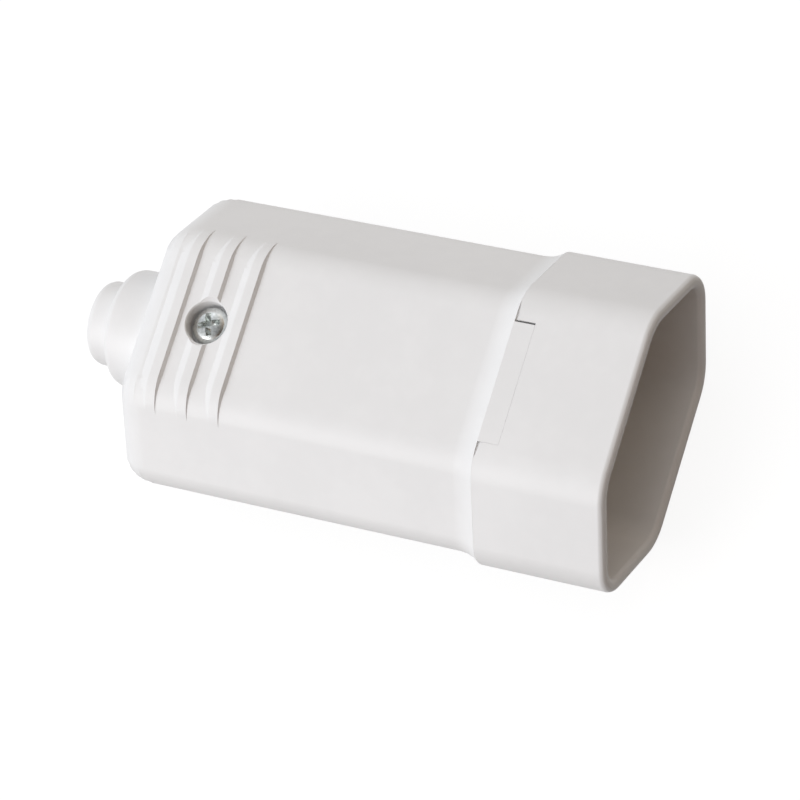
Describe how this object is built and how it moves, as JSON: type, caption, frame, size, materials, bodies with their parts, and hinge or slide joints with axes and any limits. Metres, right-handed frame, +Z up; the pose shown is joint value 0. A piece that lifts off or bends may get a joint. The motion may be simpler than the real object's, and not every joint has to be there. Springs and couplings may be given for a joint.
{
  "type": "in-line cable socket",
  "caption": "White plastic in-line cable socket with a hexagonal plug mouth, round pin holes, a parted casing with grip ribs and a closing screw, and a stepped cable neck.",
  "frame": {"origin": "on the surface it lies on, below the middle of its length and width", "axes": "+X out of the plug mouth, along the cable's axis; +Y along the mouth's long axis; +Z up, out of the flat with the closing screw"},
  "size_m": [0.0762, 0.04, 0.022],
  "materials": {
    "shell_plastic": "satin moulded white",
    "zinc_steel": "bright zinc plating",
    "brass": "stamped brass"
  },
  "bodies": {
    "root": {"socket_front": "shell_plastic", "upper_shell": "shell_plastic", "lower_shell": "shell_plastic", "closing_screw": "zinc_steel", "line_contact": "brass", "line_terminal_screw": "zinc_steel", "neutral_contact": "brass", "neutral_terminal_screw": "zinc_steel", "earth_contact": "brass", "earth_terminal_screw": "zinc_steel"}
  },
  "joints": []
}
